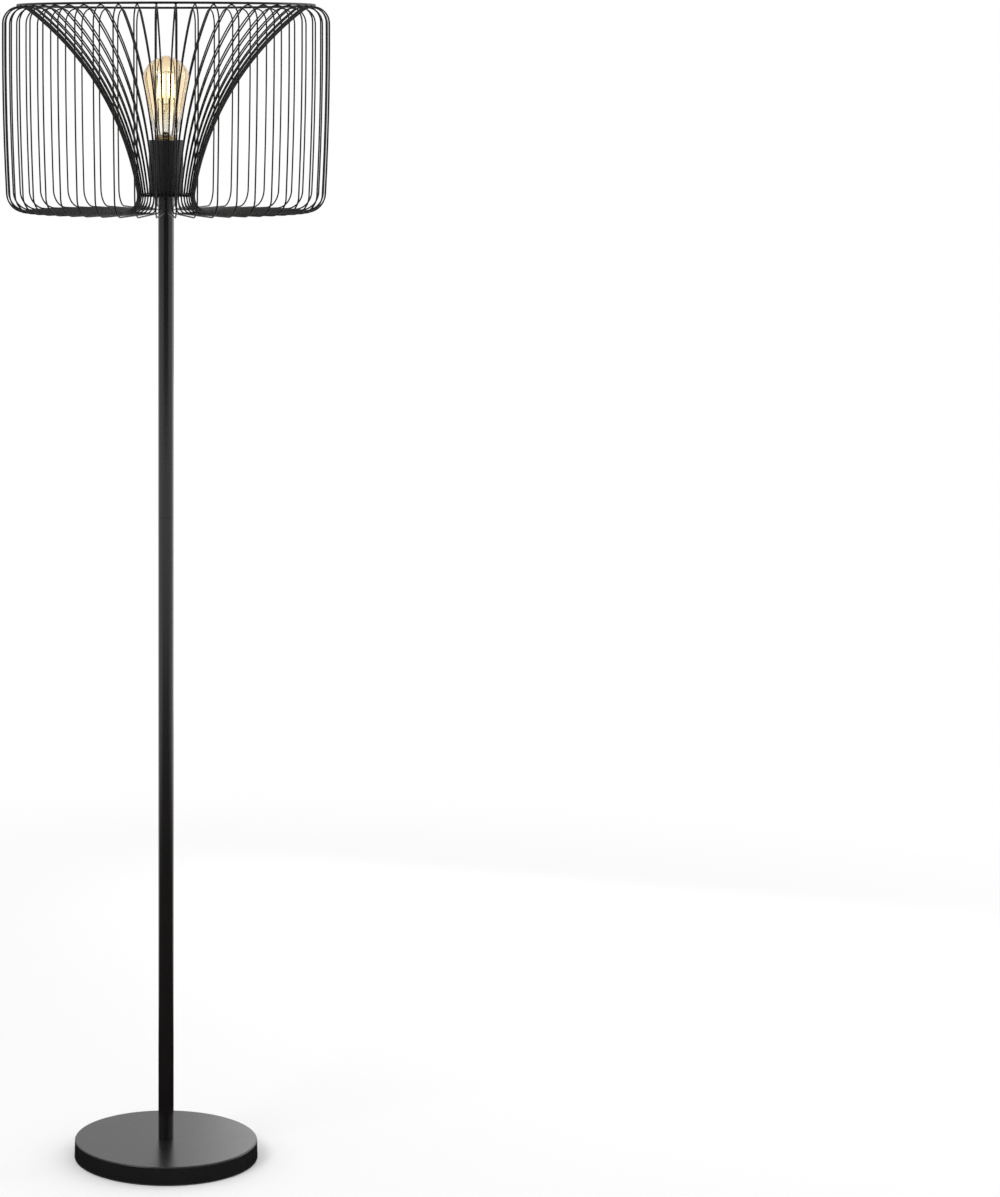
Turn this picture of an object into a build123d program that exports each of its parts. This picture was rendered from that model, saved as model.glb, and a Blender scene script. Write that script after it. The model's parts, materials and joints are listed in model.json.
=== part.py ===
from build123d import *
from math import cos, radians, sin, sqrt
import os

# Floor lamp: a weighted disc base, a straight three-part pole, and a cage of fifty closed wire
# loops round a bare bulb. Each loop rises from the neck as a trumpet, turns over at the top and
# comes down as the outside of the drum. Millimetres, +Z up, the floor at z = 0, the pole on the
# Z axis, the front towards -Y and the lamp's cord inlet towards +Y.

os.makedirs("parts", exist_ok=True)

# ---- Base ----
base_radius = 132.3  # at the rim of the skirt
base_height = 27.0  # top face above the floor
base_draft = 0.7  # how far the skirt leans in on its way up
base_wall = 1.2
base_edge_radius = 2.0
rim_lift = 1.0  # the rim stays this far off the floor
pad_thickness = 3.0
pad_gap = 1.6  # pad to skirt
weight_gap = 0.6  # weight to skirt
weight_edge = 1.5  # chamfer at the weight's top edge
spanner_room = 15.0  # the weight's recess round the washer

# ---- Cord inlet ----
gland_wall = 1.8
gland_fit = 0.1  # gland to its hole in the skirt
gland_flange_lip = 1.4  # flange beyond the gland's body
gland_flange = 1.5
gland_bead_lip = 0.6  # bead beyond the gland's body
gland_bead = 3.2
gland_play = 0.6  # bead to the skirt's inside
gland_lift = 0.3  # bead above the pad
channel_clearance = 1.2  # round the gland's bead, in the weight

# ---- Lead inside the lamp ----
lead_radius = 2.5
lead_clearance = 0.3  # in the gland
lead_bend = 8.0  # centreline radius under the pole
lead_bend_in_nut = 2.2  # height of the bend that the nut may enclose
lead_in_gland = 1.5  # how far the lead reaches into the gland
lead_past_nipple = 2.5  # jacket above the head nipple
core_radius = 0.9
core_offset = 1.1  # each core's place at the jacket's end
core_clearance = 0.2
core_depth = 4.0  # in the terminal block
core_bend = 4.0

# ---- Threaded rods, nuts and washers ----
rod_radius = 5.0
rod_lead_room = 1.0  # lead to the bore of a rod
rod_clearance = 0.2  # in a plain hole that a rod passes
rod_grip = 14.0  # thread in a pole insert
rod_end = 0.6  # rod beyond the base's nut
head_rod_end = 1.6  # rod beyond the lampholder's floor
base_washer_band = 10.0  # from the rod to the washer's edge
base_washer_thickness = 1.5
base_nut_wall = 3.5  # from the rod to a flat
base_nut_thickness = 4.0
head_washer_band = 4.0
head_washer_thickness = 0.8
head_washer_teeth = 12
head_washer_notch = 1.8
head_nut_wall = 2.0
head_nut_thickness = 3.0

# ---- Pole ----
pole_radius = 11.0
pole_wall = 1.2
pole_section_length = 452.6
pole_sections = 3
pole_end_chamfer = 0.2
insert_length = 16.0
coupler_wall = 1.8  # of a socket, round its stud
stud_length = 16.0
stud_seat = 22.0  # the part of a stud that is pressed into the tube below
socket_length = 18.0
coupler_lead_room = 2.5  # lead to the bore of a coupler

# ---- Cage: the centreline of one loop, in radius and height above its bottom run ----
cage_radius = 227.05
cage_height = 282.83
wire_radius = 1.05
wire_count = 50
wire_groups = 5
neck_radius = 39.85
neck_straight = 2.3  # the loop runs upright this far above its root bend
neck_bend = 30.8
trumpet_bend = 398.6
apex_bend = 22.66
belly_bend = 4085.0
belly_height = 215.0  # where the outside is widest
foot_bend = 26.0
root_bend = 20.0
plate_thickness = 2.5
plate_lift = 1.75  # plate's underside above the root bend
weld_sink = 0.15
ring_outset = 1.96  # ring's wire outside the loops' highest points
ring_wire_radius = 1.65

# ---- Socket cover ----
cover_radius = 24.0
cover_height = 75.0
cover_wall = 1.0
cover_edge_radius = 1.5
cover_rim_radius = 0.3

# ---- Lampholder ----
holder_gap = 3.0  # lampholder to the cover's inside
holder_wall = 2.2
holder_floor = 2.5
holder_cap_height = 26.0
holder_edge_radius = 1.5
holder_below_cover = 2.0  # barrel's top below the cover's rim
block_fit = 0.2
block_flange = 2.0
block_drop = 6.5  # block below its flange
block_boss = 1.9
barrel_ledge = 1.2  # what the screw shell stands on
shell_wall = 0.35
shell_height = 20.0
shell_flange = 4.7  # width of the flange at the shell's foot
shell_clearance = 0.3  # shell to the crests of the bulb's thread
barrel_lip = 2.3
barrel_lip_overlap = 0.2
strip_inset = 1.15  # strip to the barrel's inside
strip_wall = 0.5
strip_width = 4.0
tongue_width = 5.0
tongue_wall = 0.5
tongue_inset = 0.5  # tongue's foot to the barrel's inside
tongue_riser_place = -3.0  # X of the upright part
tongue_tip = 3.0  # X of the free end
contact_gap = 0.3  # tongue to the bulb's tip
terminal_place = 8.0
screw_place = 9.0
screw_radius = 1.5
screw_length = 5.0
screw_head_radius = 2.7
screw_head = 1.8
screw_slot = 0.6

# ---- Bulb, heights above its tip ----
bulb_tip_below_cover = 22.8  # tip below the cover's rim
tip_radius = 4.8
tip_height = 0.9
insulator_land = 0.2  # round the tip
insulator_fit = 0.15  # to the cap's inside
insulator_shoulder = 5.0
insulator_top = 7.0
cap_crest_radius = 13.05
thread_depth = 0.7
cap_wall = 0.4
thread_pitch = 3.629
thread_first = 7.0
thread_turns = 6
thread_crest_round = 0.9
collar_wall = 0.6
collar_fit = 0.1  # to the glass
collar_rise = 1.455  # above the last turn of the thread
collar_height = 2.7
glass_wall = 0.8
glass_neck_inset = 0.55  # inside the cap's thread crests
glass_shoulder_radius = 17.6
glass_shoulder_rise = 7.2  # above the collar
glass_flank_radius = 31.0
glass_flank_drop = 12.0  # below the belly
glass_belly_radius = 32.35
glass_belly_rise = 78.2  # above the collar
glass_crown_centre = 2.0  # the crown's arc is centred this far off the axis
glass_nose_radius = 11.5
glass_nose_rise = 3.678  # nose above the crown
glass_nose_tip_radius = 5.0
glass_nose_drop = 1.0  # how much the nose's tip is domed
stem_radius = 3.4
stem_flare_height = 7.0
stem_tube_length = 33.4
pinch_width = 9.0
pinch_thickness = 3.6
pinch_length = 14.0
filament_radius = 1.1
filament_foot_circle = 11.5
filament_top_circle = 10.0
filament_lift = 5.5  # above the pinch
filament_rise = 37.5  # from a stick's foot to its top
filament_count = 4
filament_turn = 20.0  # degrees, first filament from +X
bulb_wire_radius = 0.35
bulb_wire_sink = 0.5
lead_wire_circle = 3.0
lead_wire_grip = 2.0
post_radius = 0.6
post_rise = 2.0  # above the filaments
board_width = 14.0
board_thickness = 1.2
board_gap = 2.6  # to the stem's foot

# ---- Levels and places that follow from the sizes above ----
base_top_radius = base_radius - base_draft
weight_top = base_height - base_wall
gland_radius = lead_radius + lead_clearance + gland_wall
gland_flange_radius = gland_radius + gland_flange_lip
gland_bead_radius = gland_radius + gland_bead_lip
gland_reach = base_wall + gland_play + gland_bead
gland_height = pad_thickness + gland_bead_radius + gland_lift
rod_hole_radius = rod_radius + rod_clearance
rod_bore_radius = lead_radius + rod_lead_room
base_nut_foot = gland_height + lead_bend - lead_bend_in_nut
base_nut_top = base_nut_foot + base_nut_thickness
recess_top = base_nut_top + base_washer_thickness
base_washer_radius = rod_radius + base_washer_band
recess_radius = base_washer_radius + spanner_room
pole_foot = base_height
pole_top = pole_foot + pole_sections * pole_section_length
pole_bore_radius = pole_radius - pole_wall
stud_radius = pole_bore_radius - coupler_wall
coupler_bore_radius = lead_radius + coupler_lead_room
plate_top = pole_top + plate_thickness
cage_foot = pole_top - root_bend - plate_lift
cover_floor_top = plate_top + cover_wall
cover_top = plate_top + cover_height
head_nut_foot = cover_floor_top + head_washer_thickness
holder_foot = head_nut_foot + head_nut_thickness
holder_inside = holder_foot + holder_floor
block_seat = holder_foot + holder_cap_height
block_foot = block_seat - block_drop
barrel_foot = block_seat + block_flange
block_top = barrel_foot + block_boss
barrel_top = cover_top - holder_below_cover
shell_radius = cap_crest_radius + shell_clearance
shell_outer_radius = shell_radius + shell_wall
shell_top = barrel_top - barrel_lip
shell_foot = shell_top - shell_height
holder_radius = cover_radius - cover_wall - holder_gap
barrel_lower_radius = shell_outer_radius - barrel_ledge
bulb_tip = cover_top - bulb_tip_below_cover
head_rod_top = holder_inside + head_rod_end
jacket_top = head_rod_top + lead_past_nipple

# Heights in the bulb are above its tip.
cap_root_radius = cap_crest_radius - thread_depth
cap_inner_radius = cap_root_radius - cap_wall
insulator_radius = cap_inner_radius - insulator_fit
glass_neck_radius = cap_crest_radius - glass_neck_inset
collar_inner_radius = glass_neck_radius + collar_fit
collar_foot = thread_first + (thread_turns - 1) * thread_pitch + collar_rise
collar_top = collar_foot + collar_height
glass_shoulder_height = collar_top + glass_shoulder_rise
glass_belly_height = collar_top + glass_belly_rise
glass_flank_height = glass_belly_height - glass_flank_drop
stem_tube_top = collar_foot + stem_tube_length
pinch_top = stem_tube_top + pinch_length
filament_foot = pinch_top + filament_lift
filament_top = filament_foot + filament_rise
post_top = filament_top + post_rise

built = []


def keep(builder, name):
    """Labels a finished piece and writes it under its own name."""
    builder.part.label = name
    export_step(builder.part, f"parts/{name}.step")
    built.append(builder.part)


# =============================== Base ===============================

gland_plane = Plane(origin=(0, base_radius, gland_height), z_dir=(0, 1, 0))
gland_hole_radius = gland_radius + gland_fit

with BuildPart() as base_shell:
    with BuildSketch(Plane.XZ) as shell_section:
        with BuildLine():
            Polyline(
                (rod_hole_radius, base_height),
                (base_top_radius, base_height),
                (base_radius, rim_lift),
                (base_radius - base_wall, rim_lift),
                (base_top_radius - base_wall, weight_top),
                (rod_hole_radius, weight_top),
                close=True,
            )
        make_face()
        top_corner = shell_section.vertices().group_by(Axis.Y)[-1].sort_by(Axis.X)[-1]
        fillet(top_corner, base_edge_radius)
    revolve(axis=Axis.Z)
    with BuildSketch(gland_plane):
        Circle(gland_hole_radius)
    extrude(amount=-gland_reach, mode=Mode.SUBTRACT)
keep(base_shell, "base_shell")

with BuildPart() as base_weight:
    with BuildSketch(Plane.XY.offset(pad_thickness)):
        Circle(base_top_radius - base_wall - weight_gap)
    extrude(amount=weight_top - pad_thickness)
    chamfer(base_weight.faces().sort_by(Axis.Z)[-1].edges(), weight_edge)
    with BuildSketch(Plane.XY.offset(pad_thickness)):
        Circle(recess_radius)
    extrude(amount=recess_top - pad_thickness, mode=Mode.SUBTRACT)
    with BuildSketch(Plane.XY.offset(recess_top)):
        Circle(rod_hole_radius)
    extrude(amount=weight_top - recess_top, mode=Mode.SUBTRACT)
    channel_top = gland_height + gland_bead_radius + channel_clearance
    with BuildSketch(Plane.XY.offset(pad_thickness)):
        with Locations((0, base_radius / 2)):
            Rectangle(2 * (gland_bead_radius + channel_clearance), base_radius)
    extrude(amount=channel_top - pad_thickness, mode=Mode.SUBTRACT)
keep(base_weight, "base_weight")

with BuildPart() as base_pad:
    with BuildSketch():
        Circle(base_radius - base_wall - pad_gap)
    extrude(amount=pad_thickness)
keep(base_pad, "base_pad")

with BuildPart() as base_nipple:
    with BuildSketch(Plane.XY.offset(base_nut_foot - rod_end)):
        Circle(rod_radius)
        Circle(rod_bore_radius, mode=Mode.SUBTRACT)
    extrude(amount=pole_foot + rod_grip - base_nut_foot + rod_end)
keep(base_nipple, "base_nipple")

with BuildPart() as base_washer:
    with BuildSketch(Plane.XY.offset(base_nut_top)):
        Circle(base_washer_radius)
        Circle(rod_hole_radius, mode=Mode.SUBTRACT)
    extrude(amount=base_washer_thickness)
keep(base_washer, "base_washer")


def hex_nut(name, foot, thickness, wall):
    """A hexagonal nut on the Z axis, its corners taken off by a cone at both ends."""
    flat = rod_radius + wall
    corner = flat * 2 / sqrt(3)
    with BuildPart() as nut:
        with BuildSketch(Plane.XY.offset(foot)):
            RegularPolygon(flat, 6, major_radius=False)
        extrude(amount=thickness)
        with BuildSketch(Plane.XZ):
            with BuildLine():
                Polyline(
                    (rod_radius, foot),
                    (flat, foot),
                    (corner, foot + (corner - flat) / 2),
                    (corner, foot + thickness - (corner - flat) / 2),
                    (flat, foot + thickness),
                    (rod_radius, foot + thickness),
                    close=True,
                )
            make_face()
        revolve(axis=Axis.Z, mode=Mode.INTERSECT)
    keep(nut, name)


hex_nut("base_nut", base_nut_foot, base_nut_thickness, base_nut_wall)

with BuildPart() as cord_gland:
    with BuildSketch(gland_plane):
        Circle(gland_flange_radius)
    extrude(amount=gland_flange)
    fillet(cord_gland.faces().sort_by(Axis.Y)[-1].edges(), gland_flange / 2)
    with BuildSketch(gland_plane):
        Circle(gland_radius)
    extrude(amount=-gland_reach)
    with BuildSketch(gland_plane.offset(-gland_reach)):
        Circle(gland_bead_radius)
    extrude(amount=gland_bead)
    with BuildSketch(gland_plane.offset(gland_flange)):
        Circle(lead_radius + lead_clearance)
    extrude(amount=-gland_flange - gland_reach, mode=Mode.SUBTRACT)
keep(cord_gland, "cord_gland")

# =============================== Pole ===============================

pole_names = ("pole_lower", "pole_middle", "pole_upper")
for index, pole_name in enumerate(pole_names):
    with BuildPart() as pole_tube:
        with BuildSketch(Plane.XY.offset(pole_foot + index * pole_section_length)):
            Circle(pole_radius)
            Circle(pole_bore_radius, mode=Mode.SUBTRACT)
        extrude(amount=pole_section_length)
        rims = pole_tube.edges().filter_by(GeomType.CIRCLE).group_by(SortBy.RADIUS)[-1]
        chamfer(rims, pole_end_chamfer)
    keep(pole_tube, pole_name)

for insert_name, insert_foot in (
    ("pole_foot_insert", pole_foot),
    ("pole_top_insert", pole_top - insert_length),
):
    with BuildPart() as pole_insert:
        with BuildSketch(Plane.XY.offset(insert_foot)):
            Circle(pole_bore_radius)
            Circle(rod_radius, mode=Mode.SUBTRACT)
        extrude(amount=insert_length)
    keep(pole_insert, insert_name)

for joint, joint_name in ((1, "lower"), (2, "upper")):
    joint_height = pole_foot + joint * pole_section_length
    with BuildPart() as coupler_stud:
        with BuildSketch(Plane.XY.offset(joint_height - stud_seat)):
            Circle(pole_bore_radius)
        extrude(amount=stud_seat)
        with BuildSketch(Plane.XY.offset(joint_height)):
            Circle(stud_radius)
        extrude(amount=stud_length)
        with BuildSketch(Plane.XY.offset(joint_height - stud_seat)):
            Circle(coupler_bore_radius)
        extrude(amount=stud_seat + stud_length, mode=Mode.SUBTRACT)
    keep(coupler_stud, f"coupler_stud_{joint_name}")
    with BuildPart() as coupler_socket:
        with BuildSketch(Plane.XY.offset(joint_height)):
            Circle(pole_bore_radius)
            Circle(stud_radius, mode=Mode.SUBTRACT)
        extrude(amount=socket_length)
    keep(coupler_socket, f"coupler_socket_{joint_name}")

# =============================== Cage ===============================


def on_circle(centre, towards, radius):
    """The point of a circle that lies on the line from its centre through another point."""
    return centre + (towards - centre).normalized() * radius


def bend(centre, start, end, radius):
    """The arc of a circle from start to end, the short way round."""
    halfway = on_circle(centre, (start + end) / 2, radius)
    ThreePointArc(tuple(start), tuple(halfway), tuple(end))


# Every bend turns the same way, so one circle touches the next from inside, and each centre
# follows from its neighbours: two circles touch where the line through their centres meets them.
belly_centre = Vector(cage_radius - belly_bend, belly_height)
apex_level = cage_height - apex_bend
apex_reach = sqrt((belly_bend - apex_bend) ** 2 - (apex_level - belly_height) ** 2)
apex_centre = Vector(belly_centre.X + apex_reach, apex_level)
foot_reach = sqrt((belly_bend - foot_bend) ** 2 - (foot_bend - belly_height) ** 2)
foot_centre = Vector(belly_centre.X + foot_reach, foot_bend)
root_centre = Vector(neck_radius + root_bend, root_bend)
neck_centre = Vector(neck_radius + neck_bend, root_bend + neck_straight)

# The trumpet's circle touches both the neck bend and the apex bend.
span = apex_centre - neck_centre
neck_side = trumpet_bend - neck_bend
apex_side = trumpet_bend - apex_bend
along = (neck_side**2 - apex_side**2 + span.length**2) / (2 * span.length)
across = sqrt(neck_side**2 - along**2)
outward = Vector(span.Y, -span.X).normalized()
trumpet_centre = neck_centre + span.normalized() * along + outward * across

root_top = Vector(neck_radius, root_bend)
neck_start = Vector(neck_radius, neck_centre.Y)
trumpet_start = on_circle(trumpet_centre, neck_centre, trumpet_bend)
apex_start = on_circle(trumpet_centre, apex_centre, trumpet_bend)
belly_start = on_circle(belly_centre, apex_centre, belly_bend)
foot_start = on_circle(belly_centre, foot_centre, belly_bend)
run_start = Vector(foot_centre.X, 0)
run_end = Vector(root_centre.X, 0)

loop_plane = Plane(origin=(0, 0, cage_foot), x_dir=(1, 0, 0), z_dir=(0, -1, 0))
with BuildPart() as wire_loop:
    with BuildLine(loop_plane) as loop_line:
        Line(tuple(root_top), tuple(neck_start))
        bend(neck_centre, neck_start, trumpet_start, neck_bend)
        bend(trumpet_centre, trumpet_start, apex_start, trumpet_bend)
        bend(apex_centre, apex_start, belly_start, apex_bend)
        bend(belly_centre, belly_start, foot_start, belly_bend)
        bend(foot_centre, foot_start, run_start, foot_bend)
        Line(tuple(run_start), tuple(run_end))
        bend(root_centre, run_end, root_top, root_bend)
    with BuildSketch(Plane(origin=loop_line.line @ 0, z_dir=loop_line.line % 0)):
        Circle(wire_radius)
    sweep()

# Two wires straddle the front, half a spacing to each side of it.
wire_spacing = 360 / wire_count
first_wire = -90 + wire_spacing / 2
for group in range(wire_groups):
    first = group * wire_count // wire_groups
    wires = (group + 1) * wire_count // wire_groups - first
    group_start = first_wire + first * wire_spacing
    with BuildPart() as cage_wires:
        with PolarLocations(0, wires, group_start, (wires - 1) * wire_spacing, endpoint=True):
            add(wire_loop.part)
    keep(cage_wires, f"cage_wires_{group + 1}")

with BuildPart() as cage_neck_plate:
    with BuildSketch(Plane.XY.offset(pole_top)):
        Circle(neck_radius - wire_radius + weld_sink)
        Circle(rod_hole_radius, mode=Mode.SUBTRACT)
    extrude(amount=plate_thickness)
keep(cage_neck_plate, "cage_neck_plate")

# The ring rests on the loops' tops, a little outside their highest points.
seat_distance = apex_bend + wire_radius + ring_wire_radius - weld_sink
ring_level = cage_foot + apex_level + sqrt(seat_distance**2 - ring_outset**2)
with BuildPart() as cage_top_ring:
    with BuildSketch(Plane.XZ):
        with Locations((apex_centre.X + ring_outset, ring_level)):
            Circle(ring_wire_radius)
    revolve(axis=Axis.Z)
keep(cage_top_ring, "cage_top_ring")

# =========================== Socket cover ===========================

with BuildPart() as head_nipple:
    with BuildSketch(Plane.XY.offset(pole_top - rod_grip)):
        Circle(rod_radius)
        Circle(rod_bore_radius, mode=Mode.SUBTRACT)
    extrude(amount=head_rod_top - pole_top + rod_grip)
keep(head_nipple, "head_nipple")

with BuildPart() as socket_cover:
    with BuildSketch(Plane.XZ) as cover_section:
        with BuildLine():
            Polyline(
                (rod_hole_radius, plate_top),
                (cover_radius, plate_top),
                (cover_radius, cover_top),
                (cover_radius - cover_wall, cover_top),
                (cover_radius - cover_wall, cover_floor_top),
                (rod_hole_radius, cover_floor_top),
                close=True,
            )
        make_face()
        rim = cover_section.vertices().group_by(Axis.Y)[-1]
        fillet(rim, cover_rim_radius)
        foot = cover_section.vertices().group_by(Axis.Y)[0].sort_by(Axis.X)[-1]
        fillet(foot, cover_edge_radius)
    revolve(axis=Axis.Z)
keep(socket_cover, "socket_cover")

head_washer_radius = rod_radius + head_washer_band
with BuildPart() as head_washer:
    with BuildSketch(Plane.XY.offset(cover_floor_top)):
        Circle(head_washer_radius)
        Circle(rod_hole_radius, mode=Mode.SUBTRACT)
        with PolarLocations(head_washer_radius, head_washer_teeth):
            Rectangle(head_washer_notch * 2, head_washer_notch, mode=Mode.SUBTRACT)
    extrude(amount=head_washer_thickness)
keep(head_washer, "head_washer")

hex_nut("head_nut", head_nut_foot, head_nut_thickness, head_nut_wall)

# ============================ Lampholder ============================

cap_bore_radius = holder_radius - holder_wall

with BuildPart() as holder_cap:
    with BuildSketch(Plane.XY.offset(holder_foot)):
        Circle(holder_radius)
    extrude(amount=holder_cap_height)
    fillet(holder_cap.faces().sort_by(Axis.Z)[0].edges(), holder_edge_radius)
    with BuildSketch(Plane.XY.offset(holder_inside)):
        Circle(cap_bore_radius)
    extrude(amount=holder_cap_height - holder_floor, mode=Mode.SUBTRACT)
    with BuildSketch(Plane.XY.offset(holder_foot)):
        Circle(rod_radius)
    extrude(amount=holder_floor, mode=Mode.SUBTRACT)
keep(holder_cap, "holder_cap")

with BuildPart() as terminal_block:
    with BuildSketch(Plane.XY.offset(block_foot)):
        Circle(cap_bore_radius - block_fit)
    extrude(amount=block_drop)
    with BuildSketch(Plane.XY.offset(block_seat)):
        Circle(holder_radius)
    extrude(amount=block_flange)
    with BuildSketch(Plane.XY.offset(barrel_foot)):
        Circle(barrel_lower_radius - block_fit)
    extrude(amount=block_boss)
    with BuildSketch(Plane.XY.offset(block_foot)):
        with Locations((-terminal_place, 0), (terminal_place, 0)):
            Circle(core_radius + core_clearance)
    extrude(amount=core_depth, mode=Mode.SUBTRACT)
    with BuildSketch(Plane.XY.offset(block_foot)):
        with Locations((0, -screw_place), (0, screw_place)):
            Circle(screw_radius)
    extrude(amount=screw_length, mode=Mode.SUBTRACT)
keep(terminal_block, "terminal_block")

with BuildPart() as holder_barrel:
    with BuildSketch(Plane.XY.offset(barrel_foot)):
        Circle(holder_radius)
    extrude(amount=barrel_top - barrel_foot)
    fillet(holder_barrel.faces().sort_by(Axis.Z)[-1].edges(), holder_edge_radius)
    with BuildSketch(Plane.XY.offset(barrel_foot)):
        Circle(barrel_lower_radius)
    extrude(amount=shell_foot - barrel_foot, mode=Mode.SUBTRACT)
    with BuildSketch(Plane.XY.offset(shell_foot)):
        Circle(shell_outer_radius)
    extrude(amount=shell_height, mode=Mode.SUBTRACT)
    with BuildSketch(Plane.XY.offset(shell_top)):
        Circle(shell_outer_radius - barrel_lip_overlap)
    extrude(amount=barrel_lip, mode=Mode.SUBTRACT)
keep(holder_barrel, "holder_barrel")

with BuildPart() as screw_shell:
    with BuildSketch(Plane.XY.offset(shell_foot)):
        Circle(shell_outer_radius)
    extrude(amount=shell_height)
    with BuildSketch(Plane.XY.offset(shell_foot + shell_wall)):
        Circle(shell_radius)
    extrude(amount=shell_height - shell_wall, mode=Mode.SUBTRACT)
    with BuildSketch(Plane.XY.offset(shell_foot)):
        Circle(shell_outer_radius - shell_flange)
    extrude(amount=shell_wall, mode=Mode.SUBTRACT)
keep(screw_shell, "screw_shell")

strip_place = barrel_lower_radius - strip_inset - strip_wall / 2
with BuildPart() as shell_strip:
    with BuildSketch(Plane.XY.offset(block_top)):
        with Locations((strip_place, 0)):
            Rectangle(strip_wall, strip_width)
    extrude(amount=shell_foot - block_top)
keep(shell_strip, "shell_strip")

tongue_top = bulb_tip - contact_gap
tongue_end = tongue_inset - barrel_lower_radius
with BuildPart() as centre_contact:
    with BuildSketch(Plane.XZ):
        with BuildLine():
            Polyline(
                (tongue_end, block_top),
                (tongue_riser_place, block_top),
                (tongue_riser_place, tongue_top - tongue_wall),
                (tongue_tip, tongue_top - tongue_wall),
                (tongue_tip, tongue_top),
                (tongue_riser_place - tongue_wall, tongue_top),
                (tongue_riser_place - tongue_wall, block_top + tongue_wall),
                (tongue_end, block_top + tongue_wall),
                close=True,
            )
        make_face()
    extrude(amount=tongue_width / 2, both=True)
keep(centre_contact, "centre_contact")

with BuildPart() as terminal_screws:
    with BuildSketch(Plane.XY.offset(block_foot)):
        with Locations((0, -screw_place), (0, screw_place)):
            Circle(screw_radius)
    extrude(amount=screw_length)
    with BuildSketch(Plane.XY.offset(block_foot)):
        with Locations((0, -screw_place), (0, screw_place)):
            Circle(screw_head_radius)
    extrude(amount=-screw_head)
    with BuildSketch(Plane.XY.offset(block_foot - screw_head)):
        with Locations((0, -screw_place), (0, screw_place)):
            Rectangle(2 * screw_head_radius, screw_slot)
    extrude(amount=screw_slot, mode=Mode.SUBTRACT)
keep(terminal_screws, "terminal_screws")

# ======================= Lead inside the lamp =======================

lead_start = base_radius - gland_reach + lead_in_gland
with BuildPart() as lead_jacket:
    with BuildLine() as lead_line:
        FilletPolyline(
            (0, lead_start, gland_height),
            (0, 0, gland_height),
            (0, 0, jacket_top),
            radius=lead_bend,
        )
    with BuildSketch(Plane(origin=lead_line.line @ 0, z_dir=lead_line.line % 0)):
        Circle(lead_radius)
    sweep()
keep(lead_jacket, "lead_jacket")

core_rise = block_foot - jacket_top
with BuildPart() as lead_cores:
    for side in (-1, 1):
        with BuildLine() as core_line:
            FilletPolyline(
                (side * core_offset, 0, jacket_top),
                (side * core_offset, 0, jacket_top + core_rise / 5),
                (side * terminal_place, 0, block_foot - core_rise / 5),
                (side * terminal_place, 0, block_foot + core_depth),
                radius=core_bend,
            )
        with BuildSketch(Plane(origin=core_line.line @ 0, z_dir=core_line.line % 0)):
            Circle(core_radius)
        sweep(path=core_line.line)
keep(lead_cores, "lead_cores")

# =============================== Bulb ===============================

bulb_plane = Plane(origin=(0, 0, bulb_tip), x_dir=(1, 0, 0), z_dir=(0, -1, 0))

with BuildPart() as bulb_tip_contact:
    with BuildSketch(bulb_plane):
        with BuildLine():
            ThreePointArc((0, 0), (tip_radius * 0.7, tip_height / 3), (tip_radius, tip_height))
            Polyline((tip_radius, tip_height), (0, tip_height), (0, 0))
        make_face()
    revolve(axis=Axis.Z)
keep(bulb_tip_contact, "bulb_tip_contact")

with BuildPart() as bulb_insulator:
    with BuildSketch(bulb_plane):
        with BuildLine():
            Polyline(
                (0, tip_height),
                (tip_radius + insulator_land, tip_height),
                (insulator_radius, insulator_shoulder),
                (insulator_radius, insulator_top),
                (0, insulator_top),
                close=True,
            )
        make_face()
    revolve(axis=Axis.Z)
keep(bulb_insulator, "bulb_insulator")

# The cap's thread is drawn as rounded rings at the thread's pitch, under a smooth collar.
collar_radius = collar_inner_radius + collar_wall
with BuildPart() as bulb_cap:
    with BuildSketch(bulb_plane):
        with BuildLine():
            Polyline(
                (cap_inner_radius, insulator_shoulder),
                (cap_root_radius, insulator_shoulder),
                (cap_root_radius, collar_foot - glass_wall),
                (collar_radius, collar_foot),
                (collar_radius, collar_top),
                (collar_inner_radius, collar_top),
                (collar_inner_radius, collar_foot),
                (cap_inner_radius, collar_foot),
                close=True,
            )
        make_face()
        crest_centre = cap_crest_radius - thread_crest_round
        for turn in range(thread_turns):
            with Locations((crest_centre, thread_first + turn * thread_pitch)):
                Circle(thread_crest_round)
        inside = crest_centre - thread_crest_round
        with Locations((inside, (insulator_shoulder + collar_foot) / 2)):
            Rectangle(2 * (cap_inner_radius - inside), collar_foot, mode=Mode.SUBTRACT)
    revolve(axis=Axis.Z)
keep(bulb_cap, "bulb_cap")

# The envelope's outline runs from the neck over the flank to the nose. Half of it is mirrored,
# so that the wall can be offset all round before the half section is revolved. The neck is open
# below, where the stem's flare is fused into it.
glass_neck_bore = glass_neck_radius - glass_wall
crown_radius = glass_belly_radius - glass_crown_centre
crown_rise = sqrt(crown_radius**2 - (glass_nose_radius - glass_crown_centre) ** 2)
crown_top = glass_belly_height + crown_rise
glass_height = crown_top + glass_nose_rise
crown_end = (glass_nose_radius, crown_top)
crown_middle = (
    glass_crown_centre + crown_radius * cos(radians(35)),
    glass_belly_height + crown_radius * sin(radians(35)),
)
flank_end = (glass_flank_radius, glass_flank_height)
belly = (glass_belly_radius, glass_belly_height)
shoulder = (glass_shoulder_radius, glass_shoulder_height)
neck_rim = (glass_neck_radius, collar_top)
nose_tip = (glass_nose_tip_radius, glass_height - glass_nose_drop)
nose_round = (glass_nose_drop**2 + glass_nose_tip_radius**2) / (2 * glass_nose_drop)
nose_middle = (
    glass_nose_tip_radius / 2,
    glass_height - nose_round + sqrt(nose_round**2 - (glass_nose_tip_radius / 2) ** 2),
)
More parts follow.
